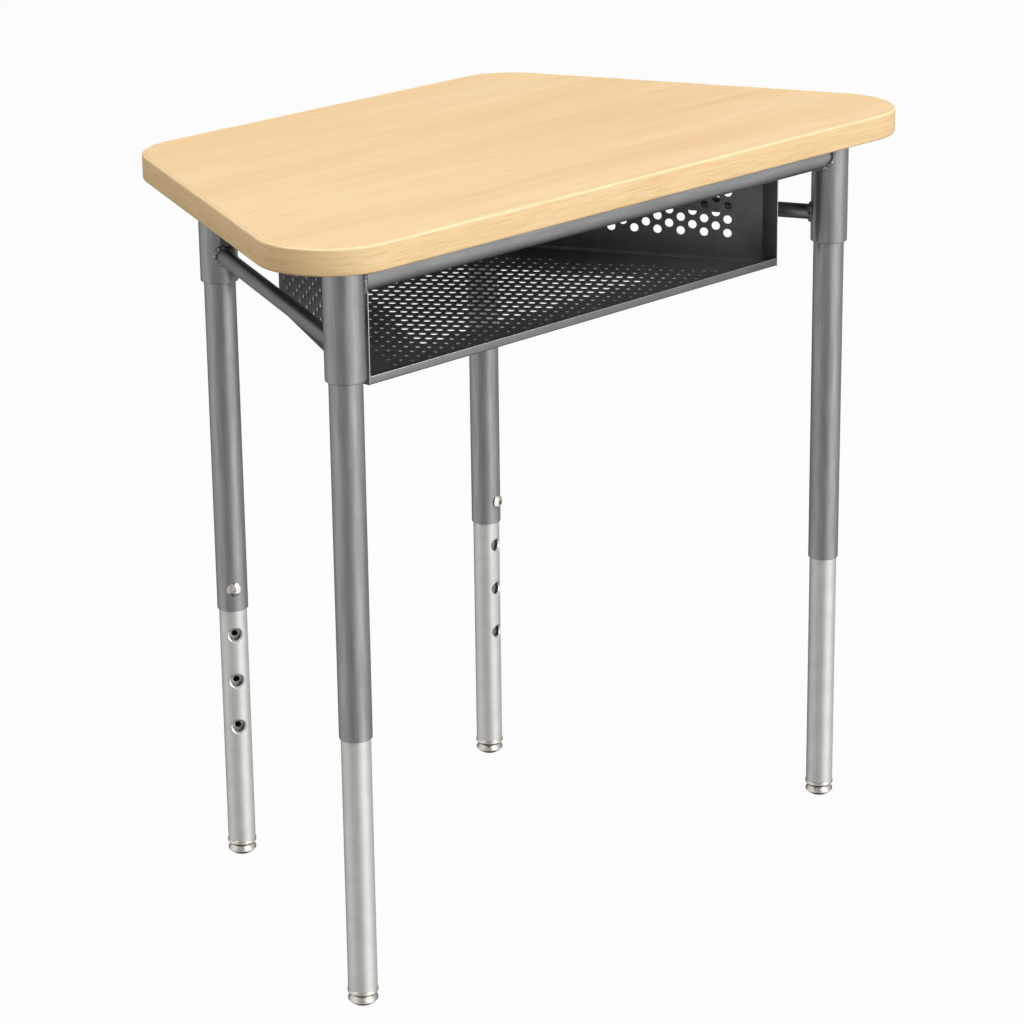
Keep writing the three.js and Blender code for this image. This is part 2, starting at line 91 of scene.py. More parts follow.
class Tree:
    def __init__(self, nodeTree):
        self.nodes = nodeTree.nodes
        self.links = nodeTree.links

    # Makes a node, with values or wires for its sockets. Gives one output as a wire.
    def node(self, kind, inputs=None, out=0, **settings):
        made = self.nodes.new(kind)
        for key, value in settings.items():
            setattr(made, key, value)
        for key, value in (inputs or {}).items():
            if isinstance(value, Wire):
                self.links.new(value.socket, made.inputs[key])
            else:
                made.inputs[key].default_value = value
        return Wire(self, made.outputs[out]) if made.outputs else None

    def math(self, operation, *values):
        return self.node("ShaderNodeMath", dict(enumerate(values)), operation=operation)

    def between(self, value, low, high):
        inputs = {"Value": value, "From Min": low, "From Max": high}
        return self.node("ShaderNodeMapRange", inputs, interpolation_type="SMOOTHSTEP")

    # Mixes two colours, each a wire or 8-bit levels.
    def blend(self, share, first, second):
        first, second = (c if isinstance(c, Wire) else colour(c) for c in (first, second))
        return self.node("ShaderNodeMix", {0: share, 6: first, 7: second}, out=2, data_type="RGBA")

    def vector(self, operation, first, second):
        other = "Scale" if operation == "SCALE" else 1
        return self.node("ShaderNodeVectorMath", {0: first, other: second}, operation=operation)

    def random(self, low, high, seed):
        return self.node("FunctionNodeRandomValue", {2: low, 3: high, "Seed": seed}, out=1)

    def objectPlace(self):
        return self.node("ShaderNodeTexCoord", out="Object")

    # Noise with grains of one length in metres, or stretched to a length along each axis
    def grain(self, lengths, offset, detail=3.0, rough=0.55):
        lengths = lengths if isinstance(lengths, tuple) else (lengths, lengths, lengths)
        scale = tuple(1 / length for length in lengths)
        place = {"Vector": self.objectPlace(), "Scale": scale, "Location": (offset, offset, offset)}
        mapped = self.node("ShaderNodeMapping", place)
        noise = {"Vector": mapped, "Scale": 1.0, "Detail": detail, "Roughness": rough}
        return self.node("ShaderNodeTexNoise", noise)

    # A grey level that follows a value, from a dictionary of places and levels
    def ramp(self, value, stops):
        made = self.nodes.new("ShaderNodeValToRGB")
        elements = made.color_ramp.elements
        while len(elements) < len(stops):
            elements.new(0.5)
        for element, (place, level) in zip(elements, stops.items()):
            element.position = place
            element.color = (level, level, level, 1.0)
        self.links.new(value.socket, made.inputs["Fac"])
        return Wire(self, made.outputs["Color"])

    # The turn that points Z along a vector
    def turnTo(self, vector):
        return self.node("FunctionNodeAlignRotationToVector", {"Vector": vector})

    # Lays an instance on points, as real geometry.
    def lay(self, **inputs):
        laid = self.node("GeometryNodeInstanceOnPoints", inputs)
        return self.node("GeometryNodeRealizeInstances", {"Geometry": laid})


# Gives a material or a world an empty tree.
def emptyTree(owner):
    owner.use_nodes = True
    owner.node_tree.nodes.clear()
    return Tree(owner.node_tree)


def newMaterial(name):
    material = bpy.data.materials.new(name)
    return material, emptyTree(material)


def surface(tree, base, rough, metal, bump, depth, specular=0.5):
    normal = tree.node("ShaderNodeBump", {"Strength": 1.0, "Distance": depth, "Height": bump})
    inputs = {"Base Color": base, "Roughness": rough, "Metallic": metal, "Normal": normal}
    shader = tree.node("ShaderNodeBsdfPrincipled", {**inputs, "Specular IOR Level": specular})
    tree.node("ShaderNodeOutputMaterial", {"Surface": shader})


# Grains are what Tree.grain takes: lengths, an offset and an amount of detail.
woodLook = {
    "maple_laminate": {
        "pale": (250, 220, 174), "warm": (243, 207, 156), "streak": (225, 184, 131),
        "cloud": ((0.55, 0.045, 0.045), 3.1), "figure": ((0.16, 0.0050, 0.0050), 7.7, 4.0),
        "fleck": ((0.020, 0.0009, 0.0009), 1.3, 2.0), "cloudShare": 0.6, "tone": (0.36, 0.66),
        "lines": (0.56, 0.74), "lineShare": 0.25, "specks": (0.60, 0.74), "speckShare": 0.18,
        "rough": 0.36, "uneven": 0.10, "relief": 0.02 * mm, "specular": 0.5,
    },
    "edge_band_wood": {
        "pale": (251, 220, 170), "warm": (243, 207, 152), "streak": (208, 162, 106),
        "cloud": ((0.10, 0.10, 0.008), 5.2), "figure": ((0.030, 0.030, 0.0013), 2.4, 4.0),
        "fleck": ((0.006, 0.006, 0.0005), 9.1, 2.0), "cloudShare": 0.5, "tone": (0.36, 0.64),
        "lines": (0.52, 0.72), "lineShare": 0.30, "specks": (0.58, 0.76), "speckShare": 0.18,
        "rough": 0.34, "uneven": 0.12, "relief": 0.03 * mm, "specular": 0.25,
        # The arris colour is a painted highlight along the band's upper edge.
        "arris": (255, 238, 204), "arrisHighlightDepth": 2.4 * mm, "arrisHighlightShare": 0.4,
    },
}


# Maple: soft clouds, then darker lines and specks along the grain. The band gets a painted highlight along
# its upper arris.
def makeWood(name):
    look = woodLook[name]
    material, tree = newMaterial(name)
    cloud, figure, fleck = (tree.grain(*look[layer]) for layer in ("cloud", "figure", "fleck"))
    mixed = cloud * look["cloudShare"] + figure * (1 - look["cloudShare"])
    base = tree.blend(tree.between(mixed, *look["tone"]), look["pale"], look["warm"])
    lines = tree.between(figure, *look["lines"]) * look["lineShare"]
    specks = tree.between(fleck, *look["specks"]) * look["speckShare"]
    base = tree.blend(lines + specks, base, look["streak"])
    # Painted highlight: the band is paler towards its upper arris.
    if "arris" in look:
        height = tree.node("ShaderNodeSeparateXYZ", {0: tree.objectPlace()}, out="Z")
        eased = tree.between(height, deskTop - look["arrisHighlightDepth"], deskTop - look["arrisHighlightDepth"] / 4)
        base = tree.blend(eased * look["arrisHighlightShare"], base, look["arris"])
    rough = look["rough"] + fleck * look["uneven"]
    surface(tree, base, rough, 0.0, fleck + figure, look["relief"], look["specular"])
    return material


boardLook = {"chip": (201, 170, 124), "dust": (150, 116, 76), "chipSize": 0.0028, "speckle": 0.0012}


def makeBoard():
    look = boardLook
    material, tree = newMaterial("particle_board")
    cells = {"Vector": tree.objectPlace(), "Scale": 1 / look["chipSize"]}
    chips = tree.node("ShaderNodeTexVoronoi", cells, out="Distance")
    speckle = tree.grain(look["speckle"], 4.4)
    base = tree.blend(tree.between(chips + speckle * 0.4, 0.3, 0.9), look["chip"], look["dust"])
    surface(tree, base, 0.85 + speckle * 0.1, 0.0, chips, 0.2 * mm)
    return material


backerLook = {"sheet": (96, 84, 72), "shade": (74, 64, 55), "cloud": 0.08, "weave": 0.0006}


def makeBacker():
    look = backerLook
    material, tree = newMaterial("backing_sheet")
    cloud = tree.grain(look["cloud"], 6.6)
    weave = tree.grain(look["weave"], 2.2)
    base = tree.blend(cloud * 0.6 + weave * 0.4, look["sheet"], look["shade"])
    surface(tree, base, 0.55 + weave * 0.2, 0.0, weave, 0.05 * mm)
    return material


paintGrains = [(0.0016, 8.3, 2.0), (0.00035, 4.9, 1.0), ((0.004, 0.004, 0.03), 12.4, 5.0, 0.7)]
paintLook = {
    "leg": {
        "pale": (154, 154, 155), "dark": (134, 134, 135), "scuff": (176, 176, 176),
        "metal": 0.8, "rough": 0.28, "streak": (0.005, 0.005, 0.06),
    },
    "rail": {
        "pale": (154, 154, 155), "dark": (136, 136, 137), "scuff": (176, 176, 176),
        "metal": 0.8, "rough": 0.28, "streak": (0.06, 0.06, 0.006),
    },
    "weld": {
        "pale": (166, 166, 166), "dark": (104, 104, 105), "scuff": (206, 206, 205),
        "metal": 0.8, "rough": 0.32, "streak": 0.003,
    },
    "box": {
        "pale": (132, 131, 131), "dark": (118, 117, 117), "scuff": (158, 158, 158),
        # The edge colour is a painted highlight and the outside colour is painted shade.
        "metal": 0.5, "rough": 0.32, "streak": 0.03, "edge": (212, 212, 211), "outside": (66, 66, 67),
    },
}


# Metallic grey paint: fine flakes, slight orange peel and a few faint scuffs.
# The box's faces marked "edge" get a painted highlight, and those marked "outside" get painted shade.
def makePaint(which):
    look = paintLook[which]
    material, tree = newMaterial(f"{which}_paint")
    cloud = tree.grain(look["streak"], 1.7)
    peel, flake, wear = (tree.grain(*grain) for grain in paintGrains)
    scuff = tree.between(wear, 0.66, 0.74)
    tone = tree.between(cloud * 0.6 + flake * 0.4, 0.34, 0.66)
    base = tree.blend(tone, look["pale"], look["dark"])
    base = tree.blend(scuff * 0.35, base, look["scuff"])
    if which == "box":
        # Painted shade on the faces marked outside.
        outside = tree.node("ShaderNodeAttribute", out="Fac", attribute_name="outside")
        base = tree.blend(outside, base, look["outside"])
        # Painted highlight on the faces marked edge.
        edge = tree.node("ShaderNodeAttribute", out="Fac", attribute_name="edge")
        base = tree.blend(edge * (1 - cloud * 0.5), base, look["edge"])
    rough = look["rough"] + flake * 0.08 + cloud * 0.06 + scuff * 0.08
    surface(tree, base, rough, look["metal"] + flake * 0.1, peel + scuff * 0.3, 0.004 * mm)
    return material


platingLook = {
    "satin": {
        "pale": (213, 212, 209), "dark": (203, 202, 199),
        "metal": 0.48, "rough": 0.28, "drawn": (0.0007, 0.0007, 0.05), "relief": 0.001 * mm,
    },
    "bright": {
        "pale": (214, 210, 203), "dark": (202, 198, 191),
        "metal": 0.95, "rough": 0.1, "drawn": (0.02, 0.02, 0.0009), "relief": 0.002 * mm,
    },
    "zinc": {
        "pale": (200, 202, 204), "dark": (176, 179, 182),
        "metal": 0.8, "rough": 0.34, "drawn": 0.004, "relief": 0.004 * mm,
    },
}


def makePlating(which):
    look = platingLook[which]
    material, tree = newMaterial(f"{which}_plating")
    drawn = tree.grain(look["drawn"], 2.9)
    spots = tree.grain(0.02, 7.1, 4.0)
    base = tree.blend(tree.between(drawn * 0.3 + spots * 0.7, 0.35, 0.65), look["pale"], look["dark"])
    rough = look["rough"] + drawn * 0.04 + tree.between(spots, 0.5, 0.75) * 0.04
    surface(tree, base, rough, look["metal"] + drawn * 0.05, drawn, look["relief"])
    return material


laminate, bandWood = (makeWood(name) for name in woodLook)
board = makeBoard()
backer = makeBacker()
legPaint, railPaint, weldPaint, boxPaint = (makePaint(which) for which in paintLook)
satin, bright, zinc = (makePlating(which) for which in platingLook)
print("materials made")


# Mesh helpers

def placed(name, data):
    made = bpy.data.objects.new(name, data)
    bpy.context.scene.collection.objects.link(made)
    return made


def newMesh(name, points, edges=(), faces=()):
    mesh = bpy.data.meshes.new(name)
    mesh.from_pydata([tuple(p) for p in points], edges, faces)
    return mesh


# Runs a change on a mesh as a bmesh.
def reshape(mesh, change):
    shaped = bmesh.new()
    shaped.from_mesh(mesh)
    change(shaped)
    shaped.to_mesh(mesh)
    shaped.free()


def faceOutwards(shaped):
    bmesh.ops.recalc_face_normals(shaped, faces=shaped.faces)
    if shaped.calc_volume(signed=True) < 0:
        bmesh.ops.reverse_faces(shaped, faces=shaped.faces)


# Merges points that coincide, and drops the slivers that a cut leaves.
def dropSlivers(shaped, reach=0.002 * mm):
    bmesh.ops.remove_doubles(shaped, verts=shaped.verts, dist=reach)
    bmesh.ops.dissolve_degenerate(shaped, dist=reach, edges=shaped.edges)


def buildMesh(name, points, faces, material, smooth=40):
    mesh = newMesh(name, points, faces=faces)
    mesh.materials.append(material)
    reshape(mesh, faceOutwards)
    mesh.shade_smooth()
    mesh.set_sharp_from_angle(angle=radians(smooth))
    return placed(name, mesh)


def keep(piece, body, slot, *nodes):
    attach(piece, body)
    if nodes:
        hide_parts(*nodes)


# Points along an arc about (x, y), both ends included
def arc(radius, start, end, steps, x=0, y=0):
    angles = [start + (end - start) * i / steps for i in range(steps + 1)]
    return [(x + radius * cos(angle), y + radius * sin(angle)) for angle in angles]


# Rounds the corners (x, y, radius) of a loop or a line. Those with no radius stay sharp, as a line's ends do.
def rounded(corners, steps=5):
    points = []
    for i, (x, y, radius) in enumerate(corners):
        here = Vector((x, y))
        if radius == 0:
            points.append(here)
            continue
        back = (Vector(corners[i - 1][:2]) - here).normalized()
        ahead = (Vector(corners[(i + 1) % len(corners)][:2]) - here).normalized()
        half = acos(back.dot(ahead)) / 2
        centre = here + (back + ahead).normalized() * (radius / sin(half))
        start = here + back * (radius / tan(half)) - centre
        end = here + ahead * (radius / tan(half)) - centre
        turn = start.angle_signed(end)
        for step in range(steps + 1):
            arm = start.copy()
            arm.rotate(Matrix.Rotation(-turn * step / steps, 2))
            points.append(centre + arm)
    return points


# Faces between rings of as many point numbers each
def skin(rings, closed=False):
    faces = []
    for here, ahead in zip(rings, rings[1:] + rings[:1] if closed else rings[1:]):
        for j in range(len(here)):
            k = (j + 1) % len(here)
            faces.append(list(dict.fromkeys([here[j], here[k], ahead[k], ahead[j]])))
    return faces


# Joins sections of as many points each. The last joins the first where it is closed, or else both get an end.
# A thin section runs out along one side of a sheet and back along the other, and its end is closed in steps.
def loft(sections, closed=False, thin=False):
    points = [point for section in sections for point in section]
    size = len(sections[0])
    rings = [list(range(first, first + size)) for first in range(0, len(points), size)]
    sides = skin(rings, closed)
    if closed:
        return points, sides
    ends = (rings[0], rings[-1])
    if not thin:
        return points, [*ends, *sides]
    steps = range(size // 2 - 1)
    strips = [[ring[i], ring[i + 1], ring[-2 - i], ring[-1 - i]] for ring in ends for i in steps]
    return points, sides + strips


# A plan outline raised to a plate between two heights
def plate(outline, low, high):
    return loft([[(x, y, z) for x, y in outline] for z in (low, high)])


# Turns (radius, height) pairs about an upright axis. A profile that doesn't meet the axis closes on itself.
def turned(profile, around, centre=(0, 0)):
    points = []
    rings = []
    for radius, height in profile:
        spots = arc(radius, 0, 2 * pi, around, *centre)[:-1] if radius > nearly else [centre]
        rings.append([len(points) + i % len(spots) for i in range(around)])
        points += [(x, y, height) for x, y in spots]
    return points, skin(rings, closed=profile[0][0] > nearly)


# Gives each face a value from its centre and normal, for the box's painted highlight and painted shade.
def markFaces(piece, label, share):
    marks = piece.data.attributes.new(label, "FLOAT", "FACE")
    for face, mark in zip(piece.data.polygons, marks.data):
        mark.value = float(share(face.center, face.normal))


# Turns a piece's modifiers into its mesh.
def settle(piece):
    bpy.context.view_layer.update()
    evaluated = piece.evaluated_get(bpy.context.evaluated_depsgraph_get())
    mesh = bpy.data.meshes.new_from_object(evaluated)
    mesh.name = piece.name
    piece.modifiers.clear()
    piece.data = mesh


def bevel(piece, width):
    modifier = piece.modifiers.new("eased", "BEVEL")
    modifier.width = width
    modifier.segments = 2
    modifier.limit_method = "ANGLE"
    modifier.angle_limit = radians(40)
    settle(piece)


# Geometry Nodes helpers

# A tree whose inputs are named, the names listed by their kind of socket
def geometryTree(name, inputs):
    group = bpy.data.node_groups.new(name, "GeometryNodeTree")
    for way in ("INPUT", "OUTPUT"):
        group.interface.new_socket(name="Geometry", in_out=way, socket_type="NodeSocketGeometry")
    for kind, labels in inputs.items():
        for label in labels.split():
            group.interface.new_socket(name=label, in_out="INPUT", socket_type="NodeSocket" + kind)
    tree = Tree(group)
    given = group.nodes.new("NodeGroupInput")
    return group, tree, {s.name: Wire(tree, s) for s in given.outputs if s.name}


def endTree(tree, geometry, material):
    painted = tree.node("GeometryNodeSetMaterial", {"Geometry": geometry, "Material": material})
    tree.node("NodeGroupOutput", {0: painted})


# Runs a tree on a piece and leaves one plain mesh in its place.
def applyTree(piece, group, values, smooth=40):
    modifier = piece.modifiers.new(group.name, "NODES")
    modifier.node_group = group
    for item in group.interface.items_tree:
        if item.in_out == "INPUT" and item.name in values:
            modifier[item.identifier] = values[item.name]
    settle(piece)
    piece.data.set_sharp_from_angle(angle=radians(smooth))


# Holes on a staggered grid inside a field. Past a smaller, full field they shrink towards the field's edge.
def makePerforation():
    group, tree, given = geometryTree("perforation", {
        "Object": "field full", "Vector": "origin columnStep rowStep facing", "Int": "columns rows around",
        "Float": "stagger diameter middle smallest depth", "Material": "material",
    })
    index = tree.node("GeometryNodeInputIndex")
    column = tree.math("MODULO", index, given["columns"])
    row = tree.math("FLOOR", index / given["columns"])
    lift = row + tree.math("MODULO", column, 2.0) * given["stagger"]
    spot = tree.vector("ADD", given["origin"], tree.vector("SCALE", given["columnStep"], column))
    spot = tree.vector("ADD", spot, tree.vector("SCALE", given["rowStep"], lift))
    dots = tree.node("GeometryNodePoints", {"Count": given["columns"] * given["rows"], "Position": spot})
    probe = 0.01
    here = tree.node("GeometryNodeInputPosition")
    above = tree.vector("ADD", here, tree.vector("SCALE", given["facing"], probe))
    down = tree.vector("SCALE", given["facing"], -1.0)
    inside = {}
    toEdge = {}
    for label in ("field", "full"):
        outline = tree.node("GeometryNodeObjectInfo", {"Object": given[label]}, out="Geometry")
        cast = {"Target Geometry": outline, "Source Position": above, "Ray Direction": down}
        inside[label] = tree.node("GeometryNodeRaycast", {**cast, "Ray Length": 2 * probe}, out="Is Hit")
        toEdge[label] = tree.node("GeometryNodeProximity", {0: outline}, "Distance", target_element="EDGES")
    outside = tree.node("FunctionNodeBooleanMath", {0: inside["field"]}, operation="NOT")
    dots = tree.node("GeometryNodeDeleteGeometry", {"Geometry": dots, "Selection": outside})
    share = toEdge["field"] / (toEdge["field"] + toEdge["full"] + 1e-6)
    fading = given["smallest"] + (given["middle"] - given["smallest"]) * share
    width = fading + (given["diameter"] - fading) * inside["full"]
    size = tree.node("ShaderNodeCombineXYZ", {0: width, 1: width, 2: given["depth"]})
    drill = tree.node("GeometryNodeMeshCylinder", {"Vertices": given["around"], "Radius": 0.5, "Depth": 1.0})
    drills = tree.lay(Points=dots, Instance=drill, Rotation=tree.turnTo(given["facing"]), Scale=size)
    meshes = {0: given["Geometry"], 1: drills}
    cut = tree.node("GeometryNodeMeshBoolean", meshes, operation="DIFFERENCE", solver="MANIFOLD")
    endTree(tree, cut, given["material"])
    return group


perforation = makePerforation()


# Cuts holes in a piece, where their grid lies inside a field. Both fields are outlines in space.
def perforate(piece, holes, field, full=None, **grid):
    fields = {
        label: placed(label, newMesh(label, corners, faces=[list(range(len(corners)))]))
        for label, corners in {"field": field, "full": full or field}.items()
    }
    even = {"middle": holes["diameter"], "smallest": holes["diameter"], "stagger": 0.0}
    applyTree(piece, perforation, {**even, **holes, **grid, **fields, "material": piece.data.materials[0]})
    for used in fields.values():
        bpy.data.objects.remove(used)


# Where things are, from the frame

def axisOf(node):
    low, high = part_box(node)
    return Vector(((low.x + high.x) / 2, (low.y + high.y) / 2))


def spanOf(node):
    low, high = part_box(node)
    return low.z, high.z


def radiusOf(node):
    low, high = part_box(node)
    return (high.x - low.x) / 2


legAxis = {name: axisOf("socket_" + name) for name in legNames}
underside = spanOf("socket_front_left")[1]
sideLean = atan2(
    legAxis["front_right"].x - legAxis["rear_right"].x,
    legAxis["rear_right"].y - legAxis["front_right"].y,
)


# The way a leg's holes and screw face
def screwHeading(name):
    away = axisOf("leg_screw_" + name) - legAxis[name]
    return atan2(away.y, away.x)


# Worktop

worktop = {
    "frontLength": 914.4 * mm, "backLength": 508 * mm, "cornerRadius": 70 * mm, "cornerSteps": 28,
    "band": 3 * mm, "arris": 2.4 * mm, "seam": 0.3 * mm, "seamDepth": 0.35 * mm,
}


# The outline's stations: arc centres and headings, the left ones mirrored
def topStations():
    low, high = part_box("edge_band")
    depth = high.y - low.y
    radius = worktop["cornerRadius"]
    steps = worktop["cornerSteps"]
    lean = atan2((worktop["frontLength"] - worktop["backLength"]) / 2, depth)
    middle = (worktop["frontLength"] + worktop["backLength"]) / 4

    def centreX(y):
        return middle - y * tan(lean) - radius / cos(lean)

    away = depth / 2 - radius
    corners = [(centreX(-away), -away, -pi / 2, lean), (centreX(away), away, lean, pi / 2)]
    shares = [i / steps for i in range(steps + 1)]
    right = [(x, y, start + (end - start) * share) for x, y, start, end in corners for share in shares]
    return right + [(-x, y, pi - turn) for x, y, turn in reversed(right)]


# A station's point on the outline, as far in as asked. The fine arcs are kept inside the CAD's coarser ones.
def topSpot(station, inset):
    x, y, turn = station
    reach = worktop["cornerRadius"] - inset
    limit = cadBox[1][0]
    return max(-limit, min(limit, x + reach * cos(turn))), y + reach * sin(turn)


def makeWorktop():
    stations = topStations()
    outline = [topSpot(station, worktop["band"] + worktop["seam"]) for station in stations]
    top = buildMesh("worktop_sheet", *plate(outline, spanOf("worktop_laminate")[0], deskTop), laminate)
    keep(top, "desk", "laminate", "worktop_laminate")
    under = buildMesh("worktop_backing", *plate(outline, underside, spanOf("worktop_backer")[1]), backer)
    keep(under, "desk", "backer", "worktop_backer")
    section = rounded([
        (worktop["band"], deskTop, worktop["seamDepth"]),
        (worktop["band"], underside, worktop["seamDepth"]),
        (0, underside, worktop["arris"]),
        (0, deskTop, worktop["arris"]),
    ], steps=7)
    sections = [[(*topSpot(station, inset), height) for inset, height in section] for station in stations]
    band = buildMesh("worktop_edge_band", *loft(sections, closed=True), bandWood, smooth=50)
    keep(band, "desk", "edge_band", "edge_band")
    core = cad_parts["worktop_core"]
    core.data.materials.clear()
    core.data.materials.append(board)
    print("worktop made")


# Welded frame

tubes = {
    "wall": 1.2 * mm, "tubeRound": 0.54 * mm, "socketRound": 0.9 * mm, "clearance": 0.12 * mm, "around": 96,
}


# The legs' sockets, or the upper tubes in them: round tubes with their lower edges rounded
def makeTubes(prefix, kind, bore, lowRound):
    for name in legNames:
        node = kind + name
        low, high = spanOf(node)
        outer = radiusOf(node)
        inner = radiusOf("leg_tube_" + name) + bore
        corners = [(outer, low, lowRound), (outer, high, 0), (inner, high, 0), (inner, low, lowRound)]
        points, faces = turned(rounded(corners), tubes["around"], legAxis[name])
        piece = buildMesh(prefix + node, points, faces, legPaint)
        keep(piece, "desk", "frame_paint", node)


# Each rail's two legs and its wall
rails = {
    "front_rail": ("front_left", "front_right", 1.5 * mm),
    "rear_rail": ("rear_left", "rear_right", 1.5 * mm),
    "side_rail_left": ("front_left", "rear_left", 1.2 * mm),
    "side_rail_right": ("front_right", "rear_right", 1.2 * mm),
}
railFit = {"bite": 0.1 * mm, "around": 64}


# Points round a rail's end, where it meets its socket: deep in its wall, or lifted off it and set back
def railEnd(node, end, steps, depth=0, lift=0, back=0):
    first, second = (legAxis[name] for name in rails[node][:2])
    along = (second - first).normalized()
    across = Vector((-along.y, along.x))
    start, inwards = (second, -along) if end else (first, along)
    low, high = spanOf(node)
    radius = (high - low) / 2 - depth
    socketRadius = radiusOf("socket_front_left") - railFit["bite"]
    points = []
    for i in range(steps):
        angle = 2 * pi * i / steps
        cope = sqrt(socketRadius ** 2 - (radius * cos(angle)) ** 2)
        spot = start + inwards * (cope + back) + across * ((radius + lift) * cos(angle))
        points.append((spot.x, spot.y, (low + high) / 2 + (radius + lift) * sin(angle)))
    return points


def makeRails():
    for node, (_, _, wall) in rails.items():
        ends = [(0, 0), (0, 1), (wall, 1), (wall, 0)]
        sections = [railEnd(node, end, railFit["around"], depth) for depth, end in ends]
        piece = buildMesh("frame_" + node, *loft(sections, closed=True), railPaint, smooth=50)
        keep(piece, "desk", "frame_paint", node)


weld = {
    "ripple": 1.5 * mm, "bead": 2.7 * mm, "squash": 0.6, "uneven": 0.3, "seed": 4,
    "lift": 0.4 * mm, "back": 0.5 * mm, "around": 48,
}


# Weld seams: flattened ripples laid along the line where each rail meets its sockets
def weldTree():
    labels = {"Float": "ripple bead squash uneven", "Int": "seed", "Material": "material"}
    group, tree, given = geometryTree("weldRipples", labels)
    curve = tree.node("GeometryNodeMeshToCurve", {"Mesh": given["Geometry"]})
    curve = tree.node("GeometryNodeResampleCurve", {"Curve": curve, "Length": given["ripple"]}, mode="LENGTH")
    ball = tree.node("GeometryNodeMeshUVSphere", {"Segments": 8, "Rings": 5, "Radius": 1.0})
    size = tree.random(1 - given["uneven"], 1 + given["uneven"], given["seed"])
    scale = tree.node("ShaderNodeCombineXYZ", {0: size, 1: size, 2: size * given["squash"]})
    scale = tree.vector("SCALE", scale, given["bead"])
    turn = tree.turnTo(tree.node("GeometryNodeInputTangent"))
    laid = tree.lay(Points=curve, Instance=ball, Rotation=turn, Scale=scale)
    endTree(tree, tree.node("GeometryNodeSetShadeSmooth", {"Geometry": laid}), given["material"])
    return group


def makeWelds():
    points = []
    edges = []
    steps = weld["around"]
    for node in rails:
        for end in (0, 1):
            edges += [(len(points) + i, len(points) + (i + 1) % steps) for i in range(steps)]
            points += railEnd(node, end, steps, lift=weld["lift"], back=weld["back"])
    piece = placed("frame_welds", newMesh("frame_welds", points, edges))
    applyTree(piece, weldTree(), {**weld, "material": weldPaint}, smooth=60)
    keep(piece, "desk", "frame_paint")


tab = {
    "thick": 3 * mm, "width": 22 * mm, "reach": 30 * mm, "bite": 0.2 * mm, "ease": 0.5 * mm,
    "innerSteps": 16, "outerSteps": 24,
    "headings": {
        "front_left": pi / 2 - sideLean,
        "front_right": pi / 2 + sideLean,
        "rear_left": -pi / 4,
        "rear_right": -3 * pi / 4,
    },
}


def makeTabs():
    half = tab["width"] / 2
    for name, heading in tab["headings"].items():
        socketRadius = radiusOf("socket_" + name)
        innerRadius = socketRadius - tab["bite"]
        spread = asin(half / innerRadius)
        outline = arc(innerRadius, spread, -spread, tab["innerSteps"])
        outline += arc(half, -pi / 2, pi / 2, tab["outerSteps"], x=socketRadius + tab["reach"] - half)
        outline = [Matrix.Rotation(heading, 2) @ Vector(p) + legAxis[name] for p in outline]
        points, faces = plate(outline, underside - tab["thick"], underside)
        piece = buildMesh("frame_tab_" + name, points, faces, railPaint)
        bevel(piece, tab["ease"])
        keep(piece, "desk", "frame_paint", "fixing_tab_" + name)


# Legs

insert = {
    "wall": 1.2 * mm, "pitch": 50.8 * mm, "holes": 4, "endStrip": 0.4 * mm, "around": 72, "patch": 16,
    "dish": [(8.6, 0), (8.0, 0.25), (7.1, 1.0), (6.2, 2.0), (6.2, 2.7), (7.3, 2.2), (8.4, 1.2)],
}


# A tube with round, dished holes on one side. Each hole sits in a square patch of the tube's own grid.
# A dish is pairs of radius and depth in mm, in from the tube's outside and back to its inside.
def drilledTube(name, outer, inner, low, high, heights):
    around, patch = insert["around"], insert["patch"]
    step = 2 * pi / around
    heading = screwHeading(name)
    half = outer * step * patch / 2
    levels = [low, low + insert["endStrip"]]
    patches = {}
    for height in heights:
        patches[len(levels)] = height
        levels += [height - half + 2 * half * i / patch for i in range(patch + 1)]
    levels += [high - insert["endStrip"], high]
    points = []

    def put(radius, angle, z):
        centre = legAxis[name]
        points.append((centre.x + radius * cos(angle), centre.y + radius * sin(angle), z))
        return len(points) - 1

    def inPatch(i, j, inset):
        return inset <= j < patch and any(first + inset <= i < first + patch for first in patches)

    def row(wallRadius, i, z):
        angles = [heading + (j - patch / 2) * step for j in range(around)]
        return [None if inPatch(i, j, 1) else put(wallRadius, angle, z) for j, angle in enumerate(angles)]

    walls = [[row(wallRadius, i, z) for i, z in enumerate(levels)] for wallRadius in (outer, inner)]
    faces = []
    for rows in walls:
        for i in range(len(levels) - 1):
            faces += [cell for j, cell in enumerate(skin(rows[i:i + 2])) if not inPatch(i, j, 0)]
    for i in (0, -1):
        faces += skin([walls[0][i], walls[1][i]])
    for first, height in patches.items():
        path = [(0, j) for j in range(patch)] + [(i, patch) for i in range(patch)]
        path += [(patch, patch - j) for j in range(patch)] + [(patch - i, 0) for i in range(patch)]
        turns = [atan2(i - patch / 2, j - patch / 2) for i, j in path]
        outside, inside = ([rows[first + i][j] for i, j in path] for rows in walls)
        rims = [outside]
        for radius, depth in insert["dish"]:
            wallRadius = outer - depth * mm
            spots = [(radius * mm * cos(turn), radius * mm * sin(turn)) for turn in turns]
            rims.append([put(wallRadius, heading + asin(x / wallRadius), height + rise) for x, rise in spots])
        faces += skin([*rims, inside])
    return points, faces


def makeInserts():
    for name in legNames:
        node = "leg_insert_" + name
        low, high = spanOf(node)
        top = sum(spanOf("leg_screw_" + name)) / 2
        heights = [top - i * insert["pitch"] for i in reversed(range(insert["holes"]))]
        outer = radiusOf(node)
        inner = outer - insert["wall"]
        points, faces = drilledTube(name, outer, inner, low, high, heights)
        piece = buildMesh("plated_" + node, points, faces, satin, smooth=50)
        keep(piece, name + "_leg", "nickel", node)
        makeNutStrip(name, inner, heights)


